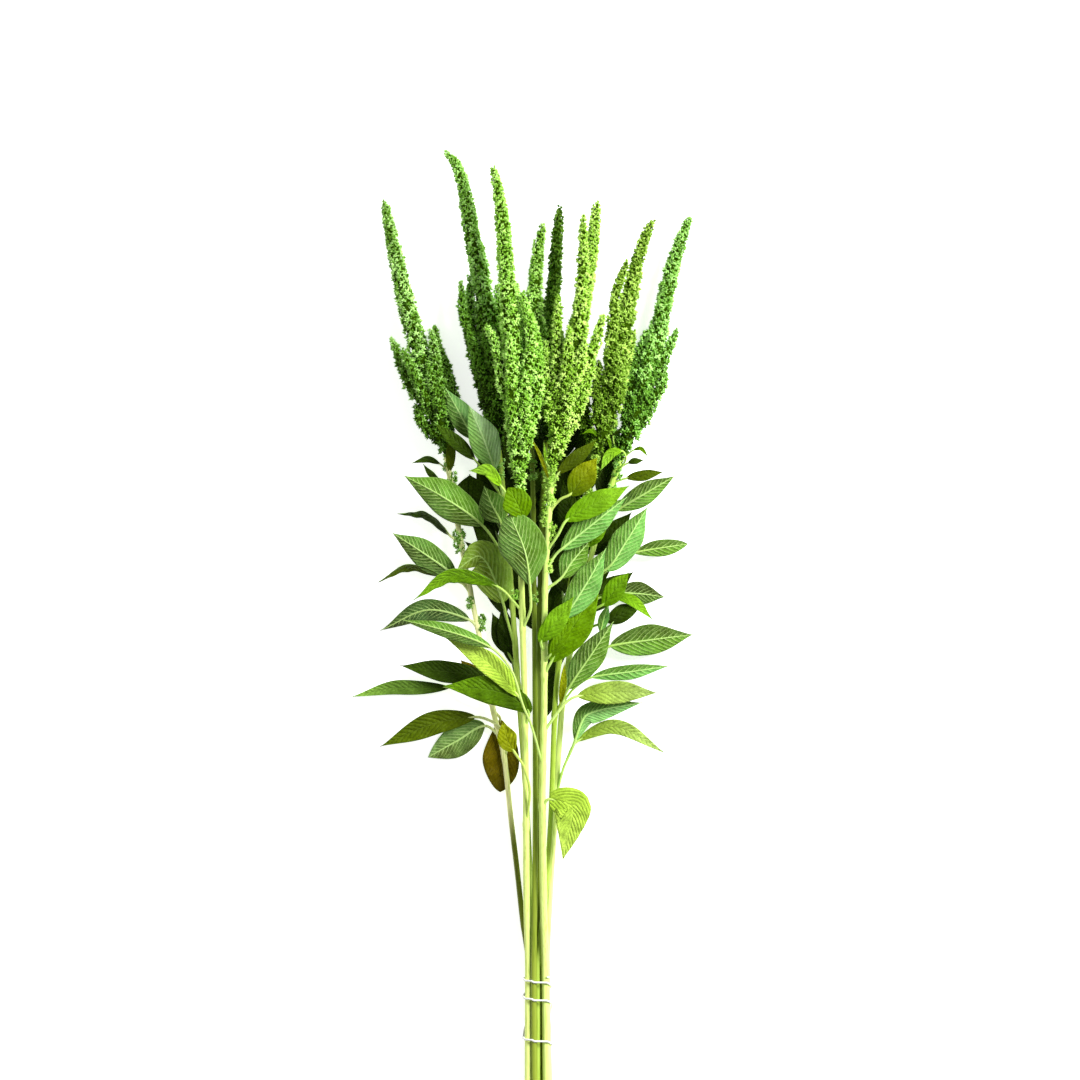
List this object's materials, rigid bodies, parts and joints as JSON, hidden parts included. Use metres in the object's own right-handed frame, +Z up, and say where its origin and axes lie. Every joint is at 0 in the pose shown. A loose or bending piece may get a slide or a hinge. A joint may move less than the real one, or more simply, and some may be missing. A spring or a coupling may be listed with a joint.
{
  "type": "amaranth seed head bunch",
  "caption": "Tied bunch of green upright amaranth: leafy stalks with long bumpy seed heads and side spikes, lying flat, held near the cut ends by a white elastic band.",
  "frame": {"origin": "centre of the bounding box in plan, on the surface that the bunch lies on", "axes": "+Y along the stalks towards the tips, +Z up from the surface, +X to the right seen from above with the tips up"},
  "size_m": [0.289, 0.7991, 0.0768],
  "materials": {
    "stalk_green": "fresh leaf and stem, satin",
    "head_green": "small dry florets, matt",
    "band_white": "white elastic, satin"
  },
  "bodies": {
    "root": {"stalk_1": "stalk_green", "stalk_2": "stalk_green", "stalk_3": "stalk_green", "stalk_4": "stalk_green", "stalk_5": "stalk_green", "stalk_6": "stalk_green", "stalk_7": "stalk_green", "stalk_8": "stalk_green", "head_1": "head_green", "head_2": "head_green", "head_3": "head_green", "head_4": "head_green", "head_5": "head_green", "head_6": "head_green", "head_7": "head_green", "head_8": "head_green", "binding_band": "band_white"}
  },
  "joints": []
}
